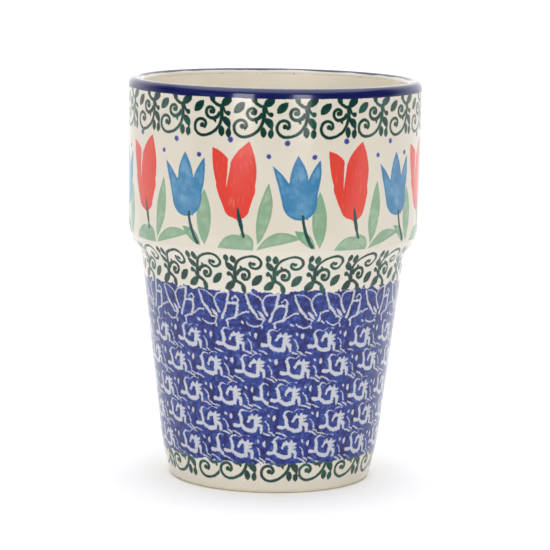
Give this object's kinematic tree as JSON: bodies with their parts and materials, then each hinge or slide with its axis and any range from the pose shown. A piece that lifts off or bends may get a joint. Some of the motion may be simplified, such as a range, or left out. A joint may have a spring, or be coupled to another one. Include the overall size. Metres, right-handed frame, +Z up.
{
  "type": "stoneware stacking tumbler",
  "caption": "Handle-less stoneware drinking tumbler with a straight collar, a rounded shoulder, a tapered wall and folk style glazed decoration.",
  "frame": {"origin": "middle of the foot ring, on the surface the tumbler stands on", "axes": "+Z up the cup's axis, out of the mouth; -Y is the side the decoration is viewed from; +X to the viewer's right"},
  "size_m": [0.0844, 0.0844, 0.1155],
  "materials": {
    "fired_clay": "bare fired stoneware, fine matte grain, wiped free of glaze",
    "cream_glaze": "clear gloss glaze over cream stoneware",
    "cobalt_band": "brushed cobalt underglaze colour under clear gloss glaze",
    "painted_glaze": "hand painted and stamped underglaze colours under clear gloss glaze",
    "stamped_glaze": "sponge stamped cobalt and green underglaze colours under clear gloss glaze"
  },
  "bodies": {
    "root": {"stoneware_body": "fired_clay", "inner_glaze": "cream_glaze", "rim_band": "cobalt_band", "collar_glaze": "painted_glaze", "wall_glaze": "stamped_glaze", "base_glaze": "cream_glaze"}
  },
  "joints": []
}
